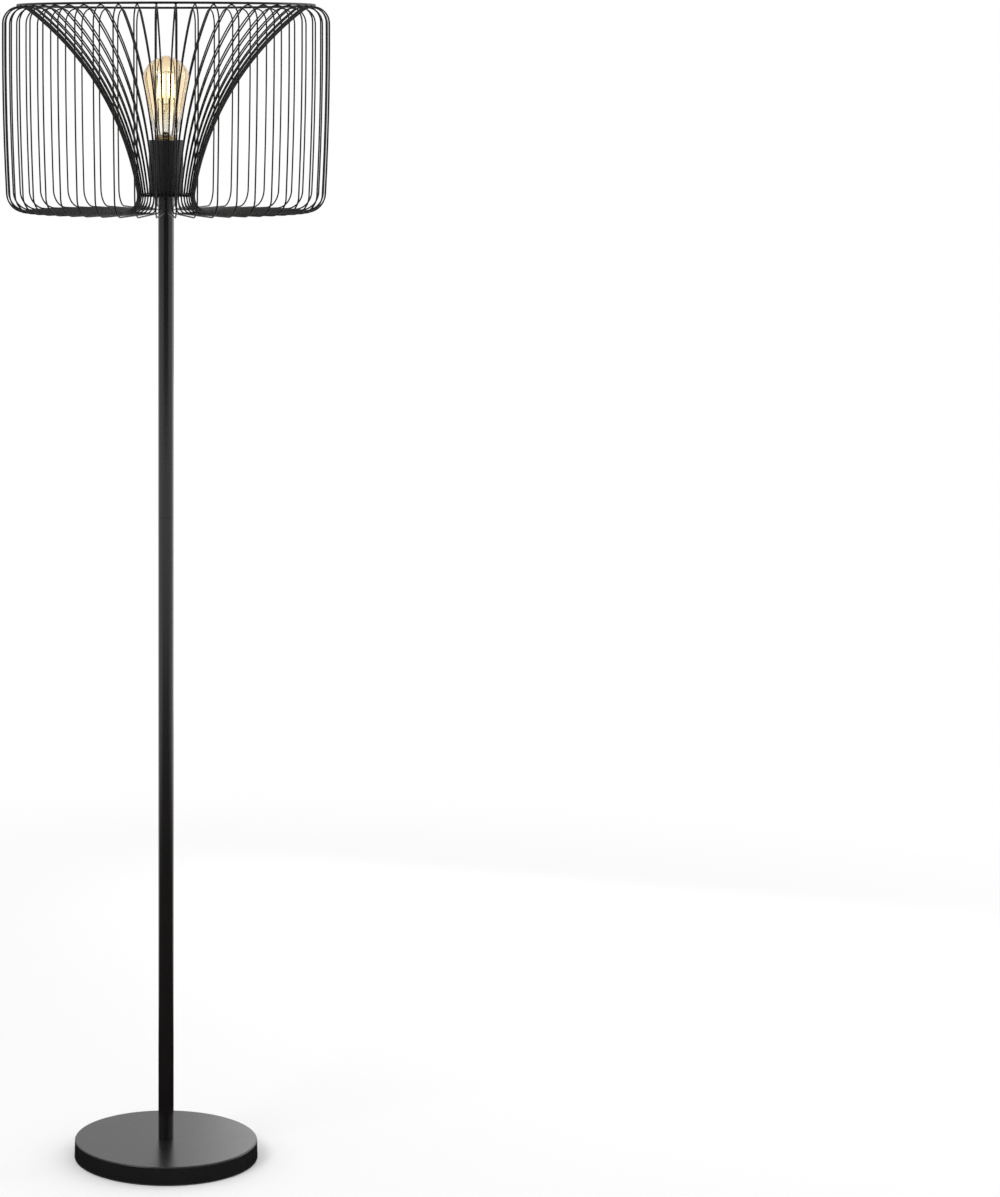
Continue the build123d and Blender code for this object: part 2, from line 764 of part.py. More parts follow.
with BuildPart() as bulb_glass:
    with BuildSketch(bulb_plane):
        with BuildLine():
            Polyline((0, collar_foot), (glass_neck_radius, collar_foot), neck_rim)
            ThreePointArc(
                neck_rim,
                (
                    (glass_neck_radius + 2 * glass_shoulder_radius) / 3,
                    (2 * collar_top + glass_shoulder_height) / 3,
                ),
                shoulder,
            )
            Line(shoulder, flank_end)
            TangentArc(
                flank_end,
                belly,
                tangent=Vector(flank_end) - Vector(shoulder),
            )
            ThreePointArc(belly, crown_middle, crown_end)
            Line(crown_end, nose_tip)
            ThreePointArc(nose_tip, nose_middle, (0, glass_height))
            mirror(about=Plane.YZ)
        make_face()
        offset(amount=-glass_wall, mode=Mode.SUBTRACT)
        with Locations((0, collar_foot)):
            Rectangle(2 * glass_neck_bore, 3 * glass_wall, mode=Mode.SUBTRACT)
        with Locations((-glass_height, glass_height / 2)):
            Rectangle(2 * glass_height, 2 * glass_height, mode=Mode.SUBTRACT)
    revolve(axis=Axis.Z)
keep(bulb_glass, "bulb_glass")

stem_foot = collar_foot + glass_wall
with BuildPart() as bulb_stem:
    with BuildSketch(bulb_plane):
        with BuildLine():
            Polyline(
                (0, stem_tube_top),
                (0, collar_foot),
                (glass_neck_bore, collar_foot),
                (glass_neck_bore, stem_foot),
            )
            ThreePointArc(
                (glass_neck_bore, stem_foot),
                (
                    stem_radius + (glass_neck_bore - stem_radius) / 3,
                    stem_foot + stem_flare_height / 3,
                ),
                (stem_radius, stem_foot + stem_flare_height),
            )
            Polyline(
                (stem_radius, stem_foot + stem_flare_height),
                (stem_radius, stem_tube_top),
                (0, stem_tube_top),
            )
        make_face()
    revolve(axis=Axis.Z)
    with BuildSketch(Plane.XY.offset(bulb_tip + stem_tube_top)) as pinch_section:
        Rectangle(pinch_width, pinch_thickness)
        fillet(pinch_section.vertices(), pinch_thickness / 3)
    extrude(amount=pinch_top - stem_tube_top)
keep(bulb_stem, "bulb_stem")


def bulb_point(circle, angle, height):
    """A point in the bulb, by its distance from the axis, its bearing and its height."""
    return Vector(circle * cos(radians(angle)), circle * sin(radians(angle)), bulb_tip + height)


filament_angles = [filament_turn + n * 360 / filament_count for n in range(filament_count)]

with BuildPart() as bulb_filaments:
    for angle in filament_angles:
        stick_foot = bulb_point(filament_foot_circle, angle, filament_foot)
        stick_top = bulb_point(filament_top_circle, angle, filament_top)
        with BuildSketch(Plane(origin=stick_foot, z_dir=stick_top - stick_foot)):
            Circle(filament_radius)
        extrude(amount=(stick_top - stick_foot).length)
keep(bulb_filaments, "bulb_filaments")

with BuildPart() as bulb_lead_wires:
    for angle in filament_angles:
        in_pinch = bulb_point(lead_wire_circle, 0 if cos(radians(angle)) > 0 else 180, pinch_top)
        in_pinch = in_pinch - Vector(0, 0, lead_wire_grip)
        in_stick = bulb_point(filament_foot_circle, angle, filament_foot + bulb_wire_sink)
        with BuildSketch(Plane(origin=in_pinch, z_dir=in_stick - in_pinch)):
            Circle(bulb_wire_radius)
        extrude(amount=(in_stick - in_pinch).length)
keep(bulb_lead_wires, "bulb_lead_wires")

with BuildPart() as bulb_top_wires:
    with BuildSketch(Plane.XY.offset(bulb_tip + pinch_top - lead_wire_grip)):
        Circle(post_radius)
    extrude(amount=post_top - pinch_top + lead_wire_grip)
    on_post = bulb_point(0, 0, post_top - post_radius)
    for angle in filament_angles:
        in_stick = bulb_point(filament_top_circle, angle, filament_top - bulb_wire_sink)
        with BuildSketch(Plane(origin=on_post, z_dir=in_stick - on_post)):
            Circle(bulb_wire_radius)
        extrude(amount=(in_stick - on_post).length)
keep(bulb_top_wires, "bulb_top_wires")

with BuildPart() as bulb_driver_board:
    with BuildSketch(Plane.XY.offset(bulb_tip + insulator_top)):
        Rectangle(board_width, board_thickness)
    extrude(amount=collar_foot - insulator_top - board_gap)
keep(bulb_driver_board, "bulb_driver_board")

lamp = Compound(children=built)
size = lamp.bounding_box().size
print(f"{len(built)} pieces, {size.X:.2f} x {size.Y:.2f} x {size.Z:.2f} mm")
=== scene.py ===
# %% [markdown]
# # A floor lamp with a wire cage
# The lamp is a weighted disc, a slim pole, and a cage of fifty bent wires round a bare bulb.
# Its hard parts were drawn in CAD and packed as a frame. This lesson loads that frame, lights it
# like a studio photograph, gives each part the finish that its maker gave it, and models the
# small things that a CAD drawing leaves out: weld beads, filament clips, solder and cement.

# %% Load the frame
import json
import math
import random

import bmesh
import bpy
from mathutils import Matrix, Vector


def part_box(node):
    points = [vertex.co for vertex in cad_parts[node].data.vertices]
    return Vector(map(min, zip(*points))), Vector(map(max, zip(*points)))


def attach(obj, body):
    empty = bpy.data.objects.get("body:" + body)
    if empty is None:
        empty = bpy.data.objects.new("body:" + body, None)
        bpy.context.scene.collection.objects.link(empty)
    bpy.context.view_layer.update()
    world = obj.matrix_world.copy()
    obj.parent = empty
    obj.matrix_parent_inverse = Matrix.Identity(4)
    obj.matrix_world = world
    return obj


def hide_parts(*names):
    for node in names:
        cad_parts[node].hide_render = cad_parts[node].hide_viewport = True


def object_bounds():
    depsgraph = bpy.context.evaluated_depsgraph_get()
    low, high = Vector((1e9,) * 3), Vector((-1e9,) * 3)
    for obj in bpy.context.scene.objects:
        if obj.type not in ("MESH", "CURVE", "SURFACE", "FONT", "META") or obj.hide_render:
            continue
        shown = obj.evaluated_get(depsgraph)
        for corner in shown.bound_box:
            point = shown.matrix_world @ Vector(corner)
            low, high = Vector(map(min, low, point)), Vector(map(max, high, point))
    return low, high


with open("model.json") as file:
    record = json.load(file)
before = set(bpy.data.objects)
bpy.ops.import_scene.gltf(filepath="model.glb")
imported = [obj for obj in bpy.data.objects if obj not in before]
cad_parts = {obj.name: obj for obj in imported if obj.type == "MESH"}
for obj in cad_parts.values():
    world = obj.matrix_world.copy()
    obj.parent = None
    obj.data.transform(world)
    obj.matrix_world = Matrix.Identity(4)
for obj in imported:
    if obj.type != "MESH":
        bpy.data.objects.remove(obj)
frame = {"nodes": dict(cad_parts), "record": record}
cad_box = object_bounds()
cad_size = [round(v, 4) for v in cad_box[1] - cad_box[0]]
print("CAD nodes:", len(frame["nodes"]), "in a box", cad_size)

MM = 0.001  # the scene is in metres, and small sizes are easier to read in millimetres

# %% [markdown]
# ## The camera
# A product photographer stands a long way off with a long lens, so that the ring on top and the
# disc below are seen at a shallow angle. The lamp fills the left of the picture, so the lens is
# shifted sideways instead of turned, which keeps the pole upright and the cage round. It is also
# shifted down a little, which brings the lamp's foot into the picture.

# %% Set up the camera
CAMERA_DISTANCE = 4.725
CAMERA_HEIGHT = 1.567
CAMERA_PITCH = math.radians(6.95)
FILM_WIDTH = 36  # in mm, as the lens is
LENS = 101.5
LENS_SHIFT = (0.279, -0.1025)  # sideways and up, in parts of the picture's longer side

camera_data = bpy.data.cameras.new("studio_lens")
camera_data.sensor_width = FILM_WIDTH
camera_data.lens = LENS
camera_data.shift_x, camera_data.shift_y = LENS_SHIFT
camera = bpy.data.objects.new("studio_camera", camera_data)
camera.location = (0, -CAMERA_DISTANCE, CAMERA_HEIGHT)
camera.rotation_euler = (math.pi / 2 - CAMERA_PITCH, 0, 0)
bpy.context.scene.collection.objects.link(camera)
bpy.context.scene.camera = camera
bpy.context.scene.view_settings.view_transform = "Standard"
print("lens", LENS, "mm,", CAMERA_DISTANCE, "m from the pole")

# %% [markdown]
# ## Shader expressions
# A node tree is a formula. Drawing it node by node hides the formula, so a small class lets
# Python's own operators build it: `1 - mask * 0.5` on a `Value` adds the Math nodes. Every other
# node comes from `Nodes.add`, which takes the node's type, its settings and its sockets.


# %% Values and nodes
class Value:
    """An output socket that Python's operators work on."""

    def __init__(self, nodes, socket):
        self.nodes = nodes
        self.socket = socket

    def _math(self, operation, first, second):
        return self.nodes.add("ShaderNodeMath", {"operation": operation}, {0: first, 1: second})

    def __add__(self, other):
        return self._math("ADD", self, other)

    def __radd__(self, other):
        return self._math("ADD", other, self)

    def __sub__(self, other):
        return self._math("SUBTRACT", self, other)

    def __rsub__(self, other):
        return self._math("SUBTRACT", other, self)

    def __mul__(self, other):
        return self._math("MULTIPLY", self, other)

    def __rmul__(self, other):
        return self._math("MULTIPLY", other, self)

    def __pow__(self, other):
        return self._math("POWER", self, other)


class Nodes:
    """A node tree that is written as expressions."""

    def __init__(self, tree):
        self.tree = tree
        tree.nodes.clear()

    def add(self, kind, settings=None, sockets=None, out=0):
        """A node of that kind. Returns its output called out, or None where it has no output."""
        node = self.tree.nodes.new(kind)
        for name, setting in (settings or {}).items():
            setattr(node, name, setting)
        for name, value in (sockets or {}).items():
            if isinstance(value, Value):
                self.tree.links.new(value.socket, node.inputs[name])
            else:
                node.inputs[name].default_value = value
        return Value(self, node.outputs[out]) if len(node.outputs) else None

    def place(self):
        """Where a point lies on the lamp, in metres."""
        return self.add("ShaderNodeTexCoord", out="Object")

    def parts(self, vector):
        """A vector's X, Y and Z."""
        split = self.add("ShaderNodeSeparateXYZ", sockets={0: vector})
        return [Value(self, socket) for socket in split.socket.node.outputs]

    def scaled(self, scale):
        """A point's place times a scale for each axis. Under 1, a pattern is drawn out."""
        return self.add("ShaderNodeMapping", sockets={"Vector": self.place(), "Scale": scale})

    def noise(self, size, detail=2.0, vector=None):
        """Noise from 0 to 1, whose blotches are about as large as size, in metres."""
        sockets = {"Vector": vector or self.place(), "Scale": 1 / size, "Detail": detail}
        return self.add("ShaderNodeTexNoise", sockets=sockets)

    def on_edge(self, blend):
        """0 where a surface faces the eye, rising to 1 where it is seen on edge."""
        return self.add("ShaderNodeLayerWeight", sockets={"Blend": blend}, out="Facing")

    def between(self, value, low, high):
        """0 where the value is low, 1 where it is high, and a smooth step between them."""
        settings = {"interpolation_type": "SMOOTHSTEP"}
        sockets = {"Value": value, "From Min": low, "From Max": high}
        return self.add("ShaderNodeMapRange", settings, sockets)

    def mix(self, factor, first, second):
        """A blend of two colours, which a Math node would turn grey."""
        # A Mix node has sockets for each type of data. The colours are its inputs 6 and 7.
        sockets = {0: factor, 6: first, 7: second}
        return self.add("ShaderNodeMix", {"data_type": "RGBA"}, sockets, out=2)

    def bump(self, height, depth, strength=1.0):
        """A surface raised by a height from 0 to 1, over a depth in metres."""
        sockets = {"Height": height, "Distance": depth, "Strength": strength}
        return self.add("ShaderNodeBump", sockets=sockets)

    def surface(self, **sockets):
        """Ends the tree in one Principled shader. Spaces in socket names are written as _."""
        named = {name.replace("_", " "): value for name, value in sockets.items()}
        shader = self.add("ShaderNodeBsdfPrincipled", sockets=named)
        self.add("ShaderNodeOutputMaterial", sockets={"Surface": shader})


def swing(noise, width):
    """Noise as a change about nothing, half of width up and half of it down."""
    return (noise - 0.5) * width


def opaque(colour, shade=1.0):
    """A colour times a shade, with the fourth number that a colour socket wants."""
    return (*[c * shade for c in colour], 1)


finishes = {}


def new_finish(name):
    """A material of that name, whose nodes are still to be written."""
    material = bpy.data.materials.new(name)
    material.use_nodes = True
    finishes[name] = material
    return Nodes(material.node_tree)


print("node types in a formula come from Nodes.add")

# %% [markdown]
# ## Light and floor
# The photograph was cut out on white, so the room is white too. A plain world at a strength near
# one shows each colour as it is written. What the camera sees of the room is plain white. What
# the shiny surfaces mirror of it is dim on the left and bright on the right, which rounds the
# pole. What shows through the glass is brighter than white, as if the lit bulb threw a glow round
# itself. The Light Path node tells these rays apart.

# %% White room
WORLD_LIGHT = 0.8
MIRRORED_LOSS = 0.14  # how much dimmer than white the mirrored room is straight ahead
MIRRORED_SLOPE = 0.36  # how much brighter it is on the right, and dimmer on the left
GLOW = 0.14  # how much brighter than white the room is through glass

world = bpy.data.worlds.new("white_room")
bpy.context.scene.world = world
world.use_nodes = True
sky = Nodes(world.node_tree)
room_light = sky.add("ShaderNodeBackground", sockets={0: (1, 1, 1, 1), 1: WORLD_LIGHT})
ray_kinds = ("Is Camera Ray", "Is Glossy Ray", "Is Transmission Ray")
by_camera, by_mirror, by_glass = [sky.add("ShaderNodeLightPath", out=name) for name in ray_kinds]
to_the_right = sky.parts(sky.add("ShaderNodeTexCoord", out="Generated"))[0]
only_mirrored = by_mirror - by_glass  # a ray through glass counts as a mirrored one too
brightness = 1 - only_mirrored * (MIRRORED_LOSS - to_the_right * MIRRORED_SLOPE) + by_glass * GLOW
room_seen = sky.add("ShaderNodeBackground", sockets={0: (1, 1, 1, 1), 1: brightness})
seen = by_camera + by_mirror + by_glass
room = sky.add("ShaderNodeMixShader", sockets={0: seen, 1: room_light, 2: room_seen})
sky.add("ShaderNodeOutputWorld", sockets={"Surface": room})
print("room light", WORLD_LIGHT)

# %% [markdown]
# A soft box is a lamp behind a sheet of cloth. Its size matters more than its power: a large one
# gives a soft gradient on curved paint, a narrow one a bright line. Four of them shape the lamp: a
# large one high on the left, a tall strip on the right that draws the pole's bright edge, one low
# behind the lamp that lights the right half of the polished base, and a long low one in front.


# %% Soft boxes
def soft_box(name, place, target, size, power):
    """A rectangular light at place that faces target. Its power is in watts."""
    light = bpy.data.lights.new(name, "AREA")
    light.shape = "RECTANGLE"
    light.size, light.size_y = size
    light.energy = power
    box = bpy.data.objects.new(name, light)
    box.location = place
    aim = Vector(target) - Vector(place)
    box.rotation_euler = aim.to_track_quat("-Z", "Y").to_euler()
    box.visible_camera = False
    bpy.context.scene.collection.objects.link(box)


soft_box("high_left", (-2.4, -2.6, 3.4), target=(0, 0, 1.0), size=(1.8, 1.8), power=55)
soft_box("right_strip", (2.2, 0.8, 1.1), target=(0, 0, 0.9), size=(0.7, 2.6), power=12)
soft_box("low_back", (0.85, 1.6, 0.62), target=(0.2, 0, 0.3), size=(1.6, 0.7), power=3.6)
soft_box("low_front", (0, -3.5, 0.5), target=(0, 0, 0.95), size=(5.0, 0.3), power=1.8)
print("four soft boxes")

# %% [markdown]
# Everything that is modelled here starts as one of Blender's primitives. An operator acts on all
# that is selected, and loading the frame leaves its nodes selected, so a small helper deselects
# everything before it adds a primitive, which is then the only thing that is selected.


# %% Start a piece
def alone(piece):
    """Makes a piece the active one, and the only one that is selected."""
    bpy.ops.object.select_all(action="DESELECT")
    piece.select_set(True)
    bpy.context.view_layer.objects.active = piece


def start(primitive, name, **options):
    """Adds a primitive on its own and returns its object, with everything selected in it."""
    bpy.ops.object.select_all(action="DESELECT")
    primitive(**options)
    piece = bpy.context.object
    piece.name = name
    return piece


print("pieces start from an empty selection")

# %% [markdown]
# Black paint shows its shape by what it mirrors. In an all-white room the lamp would be grey from
# edge to edge, so a photographer lays a black cloth round its foot and hangs another in front of
# it: the fronts stay black and the edges, which mirror the sides of the room, draw a pale outline.
# The slit between the two cloths, where the low soft box stands, is the soft band of light
# half-way up the pole. Only mirrored rays meet the cloths, so neither shows, throws a shadow or
# hides the lamp from the lens.

# %% Black cloths
CLOTH_WIDTH = 5.0
CLOTH_LIFT = 2 * MM  # how far the lower cloth lies above the floor
FLOOR_CLOTH = (0.6, -4.1)  # its back and front edge
HUNG_CLOTH = (0.70, 2.6)  # its lower and upper edge
HUNG_AT = -3.3
UPRIGHT = math.pi / 2

velvet = new_finish("black_velvet")
nap = velvet.noise(4 * MM, detail=2)
velvet_shade = velvet.mix(nap, (0.006, 0.006, 0.006, 1), (0.014, 0.014, 0.014, 1))
dull = velvet.add("ShaderNodeBsdfDiffuse", sockets={"Color": velvet_shade})
velvet.add("ShaderNodeOutputMaterial", sockets={"Surface": dull})


def black_cloth(name, place, turn, length):
    """A black sheet that only mirrored rays meet. Turn tips it up from the floor."""
    cloth = start(
        bpy.ops.mesh.primitive_plane_add, name, size=1, location=place, rotation=(turn, 0, 0)
    )
    cloth.scale = (CLOTH_WIDTH, length, 1)
    cloth.data.materials.append(finishes["black_velvet"])
    for rays in ("camera", "diffuse", "transmission", "volume_scatter", "shadow"):
        setattr(cloth, "visible_" + rays, False)


floor_middle = (0, sum(FLOOR_CLOTH) / 2, CLOTH_LIFT)
hung_middle = (0, HUNG_AT, sum(HUNG_CLOTH) / 2)
black_cloth("floor_cloth", floor_middle, 0, FLOOR_CLOTH[0] - FLOOR_CLOTH[1])
black_cloth("hung_cloth", hung_middle, UPRIGHT, HUNG_CLOTH[1] - HUNG_CLOTH[0])
print("cloths", CLOTH_WIDTH, "m wide")

# %% [markdown]
# The floor is a wide sheet that fades into the white of the room before the horizon, like the
# curved paper behind a product. Near the lamp it is ordinary matt paper and takes a shadow.

# %% Floor
FLOOR_WIDTH = 60.0
PAPER_WHITE = 0.95
PAPER_NEAR = 0.9  # how far from the pole the paper is plain
PAPER_FAR = 2.6  # where it has faded to white

floor = start(
    bpy.ops.mesh.primitive_plane_add, "studio_floor", size=FLOOR_WIDTH, location=(0, 0, 0)
)
paper = new_finish("floor_paper")
from_pole = paper.add(
    "ShaderNodeVectorMath", {"operation": "LENGTH"}, {0: paper.place()}, out="Value"
)
fade = paper.between(from_pole, PAPER_NEAR, PAPER_FAR)
grain = paper.noise(3 * MM, detail=3)
sheet = paper.add(
    "ShaderNodeBsdfDiffuse",
    sockets={"Color": opaque([PAPER_WHITE] * 3), "Normal": paper.bump(grain, 0.05 * MM)},
)
white = paper.add("ShaderNodeEmission", sockets={"Color": (1, 1, 1, 1), "Strength": 1.0})
both = paper.add("ShaderNodeMixShader", sockets={0: fade, 1: sheet, 2: white})
paper.add("ShaderNodeOutputMaterial", sockets={"Surface": both})
floor.data.materials.append(finishes["floor_paper"])
print("floor", FLOOR_WIDTH, "m wide")

# %% [markdown]
# ## Powder coat
# All the black steel is powder coated: a dry paint that is baked until it melts. It never flows
# quite flat, and the skin keeps a fine orange peel about a millimetre across. Each piece hangs
# in the oven in its own way, so its shade and gloss drift a little from place to place. One
# function writes all the paints. The base and pole get a smoother coat than the wires and the cup.

# %% Write the black paints
PAINT_DRIFT = 60 * MM  # how large the paler and darker places are
PALE, DARK = 1.2, 0.82  # their shades


def powder_coat(name, colour, gloss, peel_size, peel_depth, mirror=0.5):
    """Black paint with orange peel. Gloss is its roughness, mirror how much it reflects."""
    coat = new_finish(name)
    peel = coat.noise(peel_size, detail=1.5)
    fine = coat.noise(peel_size / 5, detail=2)
    drift = coat.noise(PAINT_DRIFT, detail=3)
    coat.surface(
        Base_Color=coat.mix(drift, opaque(colour, DARK), opaque(colour, PALE)),
        Roughness=gloss + swing(drift, 0.06) + swing(fine, 0.05),
        Specular_IOR_Level=mirror,
        Normal=coat.bump(peel * 0.8 + fine * 0.2, peel_depth),
    )


powder_coat("base_paint", (0.0085, 0.0083, 0.0083), 0.27, 1.6 * MM, 0.008 * MM)
powder_coat("pole_paint", (0.0072, 0.0061, 0.0058), 0.20, 1.3 * MM, 0.006 * MM)
powder_coat("wire_paint", (0.0050, 0.0045, 0.0043), 0.34, 0.9 * MM, 0.010 * MM, mirror=0.2)
powder_coat("cover_paint", (0.0078, 0.0074, 0.0074), 0.42, 1.0 * MM, 0.014 * MM, mirror=0.38)
print("paints:", [n for n in finishes if n.endswith("paint")])

# %% [markdown]
# ## Metals
# The fittings inside are zinc-plated steel, brass and drawn wire. Plating is cloudy, and turned
# or drawn metal carries fine lines round its axis, so noise is squeezed along one direction:
# stretched out round the axis, it looks like the marks of a tool.

# %% Write the metals
TOOL_MARKS = (0.04, 0.04, 1.0)  # draws noise out across the height
TARNISH = 0.78  # the shade of the darker clouds


def bare_metal(name, colour, gloss, cloud_size, line_size, line_depth=0.004 * MM):
    """Metal with a cloudy colour and fine lines across its height."""
    metal = new_finish(name)
    lines = metal.noise(line_size, detail=3, vector=metal.scaled(TOOL_MARKS))
    cloud = metal.noise(cloud_size, detail=3)
    metal.surface(
        Base_Color=metal.mix(cloud, opaque(colour, TARNISH), opaque(colour)),
        Metallic=1.0,
        Roughness=gloss + swing(cloud, 0.16) + swing(lines, 0.1),
        Normal=metal.bump(lines, line_depth),
    )


bare_metal("zinc_steel", (0.62, 0.62, 0.60), 0.34, 5 * MM, 0.3 * MM)
bare_metal("brass", (0.80, 0.58, 0.27), 0.26, 4 * MM, 0.25 * MM)
bare_metal("cap_brass", (0.54, 0.42, 0.22), 0.28, 6 * MM, 0.2 * MM, 0.003 * MM)
bare_metal("solder", (0.70, 0.70, 0.70), 0.30, 1.2 * MM, 0.6 * MM, 0.03 * MM)
bare_metal("nickel_wire", (0.60, 0.57, 0.52), 0.30, 2 * MM, 0.2 * MM)
print("finishes with the metals:", len(finishes))

# %% [markdown]
# ## Mouldings, stone and foam
# The lampholder is pressed phenolic resin round a glazed porcelain block, the inlet is nylon and
# the lead is soft vinyl. The weight in the base is a rough casting, and the pad under it is
# closed-cell foam, which shows its cut cells: a Voronoi pattern of pits, darkened with painted
# shade.

# %% Write the mouldings
FLOW_SPREAD = 30  # how much larger flow marks are than the grain
FLOW_SHADE = 0.86  # the shade of the darker ones


def moulding(name, colour, gloss, grain_size, grain_depth, mirror=0.5):
    """A moulded or glazed surface with a faint grain and flow marks."""
    plastic = new_finish(name)
    grain = plastic.noise(grain_size, detail=3)
    flow = plastic.noise(grain_size * FLOW_SPREAD, detail=2)
    plastic.surface(
        Base_Color=plastic.mix(flow, opaque(colour, FLOW_SHADE), opaque(colour)),
        Roughness=gloss + swing(grain, 0.1) + swing(flow, 0.08),
        Specular_IOR_Level=mirror,
        Normal=plastic.bump(grain, grain_depth),
    )


moulding("phenolic", (0.022, 0.020, 0.019), 0.32, 0.4 * MM, 0.008 * MM)
moulding("porcelain", (0.83, 0.80, 0.75), 0.14, 0.9 * MM, 0.006 * MM)
moulding("black_nylon", (0.017, 0.017, 0.018), 0.46, 0.35 * MM, 0.015 * MM, mirror=0.35)
moulding("lead_sheath", (0.016, 0.016, 0.017), 0.42, 0.5 * MM, 0.010 * MM, mirror=0.4)
moulding("core_insulation", (0.72, 0.69, 0.62), 0.30, 0.4 * MM, 0.006 * MM)
moulding("circuit_board", (0.035, 0.20, 0.075), 0.28, 0.6 * MM, 0.006 * MM)
moulding("black_glass", (0.012, 0.012, 0.016), 0.09, 0.5 * MM, 0.004 * MM)
moulding("cast_filler", (0.40, 0.385, 0.36), 0.82, 1.4 * MM, 0.25 * MM, mirror=0.3)

FOAM_CELL = 0.8 * MM
foam = new_finish("foam")
cells = foam.add(
    "ShaderNodeTexVoronoi",
    {"feature": "F1"},
    {"Vector": foam.place(), "Scale": 1 / FOAM_CELL},
)
# The pits are sunk by the bump and darkened in colour too; that darkening is painted shade.
pit_and_painted_shade = foam.between(cells, 0.1, 0.6)
foam.surface(
    Base_Color=foam.mix(pit_and_painted_shade, (0.006, 0.006, 0.006, 1), (0.030, 0.030, 0.031, 1)),
    Roughness=0.86,
    Specular_IOR_Level=0.25,
    Normal=foam.bump(pit_and_painted_shade, 0.12 * MM),
)
print("finishes with the mouldings:", len(finishes))

# %% [markdown]
# ## Glass and light
# The bulb is blown glass with a thin amber coat on its upper part. The coat thins out towards
# the neck, where the stem shows clear, and gathers a little on the crown, where the bulb hung when
# it was dipped. The tint is therefore a function of height. Glass turns darker where it is seen
# on edge, because the eye looks through more of it, and Layer Weight gives just that.

# %% Write the amber glass
bulb_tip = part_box("bulb_tip_contact")[0].z
collar_top = bulb_tip + 29.3 * MM
AMBER_FROM = collar_top + 2 * MM
AMBER_FULL = collar_top + 44 * MM
CROWN_FROM = bulb_tip + 112 * MM
CROWN_TOP = bulb_tip + 140 * MM
BARE_TINT = (0.980, 0.960, 0.920, 1)
AMBER_TINT = (0.995, 0.915, 0.730, 1)
AMBER_ASLANT = (0.955, 0.825, 0.640, 1)  # the coat where it is seen at a slant
CROWN_TINT = (0.87, 0.73, 0.53, 1)
RIM_TINT = (0.46, 0.35, 0.22, 1)

amber = new_finish("amber_glass")
height = amber.parts(amber.place())[2]
coat_depth = amber.between(height, AMBER_FROM, AMBER_FULL)
streaks = amber.noise(14 * MM, detail=2)
aslant = amber.between(amber.on_edge(0.5), 0.0, 0.34)
coat_tint = amber.mix(aslant, AMBER_TINT, AMBER_ASLANT)
tint = amber.mix(coat_depth * (0.86 + streaks * 0.28), BARE_TINT, coat_tint)
crown = amber.between(height, CROWN_FROM, CROWN_TOP)
tint = amber.mix(crown * 0.7, tint, CROWN_TINT)
waves = amber.noise(9 * MM, detail=1, vector=amber.scaled((1.0, 1.0, 0.2)))
amber.surface(
    Base_Color=amber.mix(amber.on_edge(0.34) ** 2.3 * 0.85, tint, RIM_TINT),
    Roughness=0.0,
    IOR=1.47,
    Transmission_Weight=1.0,
    Normal=amber.bump(waves, 0.3 * MM, strength=0.3),
)
print("amber from", round(AMBER_FROM, 4), "to", round(AMBER_FULL, 4))

# %% [markdown]
# The stem inside is clear glass that no coat reaches. It is squeezed flat round the lead wires
# while it is soft, which leaves small bubbles in the pinch.

# %% Write the clear glass
PINCH_FOOT = bulb_tip + 60 * MM
PINCH_TOP = bulb_tip + 75 * MM

clear = new_finish("clear_glass")
stem_height = clear.parts(clear.place())[2]
pinched = clear.between(stem_height, PINCH_FOOT - 2 * MM, PINCH_FOOT + 1 * MM)
pinched = pinched * clear.between(stem_height, PINCH_TOP + 1 * MM, PINCH_TOP - 1 * MM)
bubbles = clear.between(clear.noise(1.6 * MM, detail=2), 0.50, 0.60)
drawn = clear.noise(5 * MM, detail=2)
shade = clear.mix(clear.on_edge(0.4) ** 2.0 * 0.8, (0.97, 0.95, 0.90, 1), (0.42, 0.36, 0.27, 1))
clear.surface(
    Base_Color=clear.mix(pinched * bubbles, shade, (0.32, 0.22, 0.12, 1)),
    Roughness=0.02 + drawn * 0.03,
    IOR=1.48,
    Transmission_Weight=1.0,
    Normal=clear.bump(drawn + pinched * bubbles, 0.3 * MM, strength=0.4),
)
print("pinch from", round(PINCH_FOOT, 4), "to", round(PINCH_TOP, 4))

# %% [markdown]
# A filament here is a stick of tiny diodes under a yellow phosphor coat. Lit, its middle is too
# bright to show a colour and its ends fall off to deep yellow. Emission follows the height of a
# point between the stick's two ends.

# %% Write the glowing phosphor
FILAMENT_FOOT = bulb_tip + 79.5 * MM
FILAMENT_TOP = bulb_tip + 117.0 * MM

glow = new_finish("filament")
stick_height = glow.parts(glow.place())[2]
rising = glow.between(stick_height, FILAMENT_FOOT - 2 * MM, FILAMENT_FOOT + 13 * MM)
falling = glow.between(stick_height, FILAMENT_TOP, FILAMENT_TOP - 6 * MM)
beads = glow.noise(1.1 * MM, detail=1)
lit = rising * falling * (0.9 + beads * 0.2)
glow.surface(
    Base_Color=(0.90, 0.66, 0.16, 1),
    Roughness=0.6,
    Emission_Color=glow.mix(lit, (0.34, 0.17, 0.012, 1), (1.0, 0.84, 0.46, 1)),
    Emission_Strength=8.0,
    Normal=glow.bump(beads, 0.08 * MM),
)
print("finishes with glass and phosphor:", len(finishes))

# %% [markdown]
# ## Dress the frame
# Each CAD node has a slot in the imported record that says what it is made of, and the finishes
# above are named after those slots. So the lamp is dressed by looking each node up.

# %% Put each finish on its nodes
slot_of = {row["node"]: row["material_slot"] for row in frame["record"]["subparts"]}
for node_name, node in frame["nodes"].items():
    node.data.materials.clear()
    node.data.materials.append(finishes[slot_of[node_name]])
print("dressed", len(slot_of), "nodes in", len(set(slot_of.values())), "finishes")

# %% [markdown]
# ## Tools for modelling
# A piece is shaped by operators in edit mode, and what repeats is modelled once and copied round
# the lamp's axis. At the end its place is moved into its mesh, so that its object sits at the
# origin like a CAD node's, and patterns that read Object coordinates lie still. Its doubled
# points are merged and its faces turned outwards before a modifier gives it a wall.

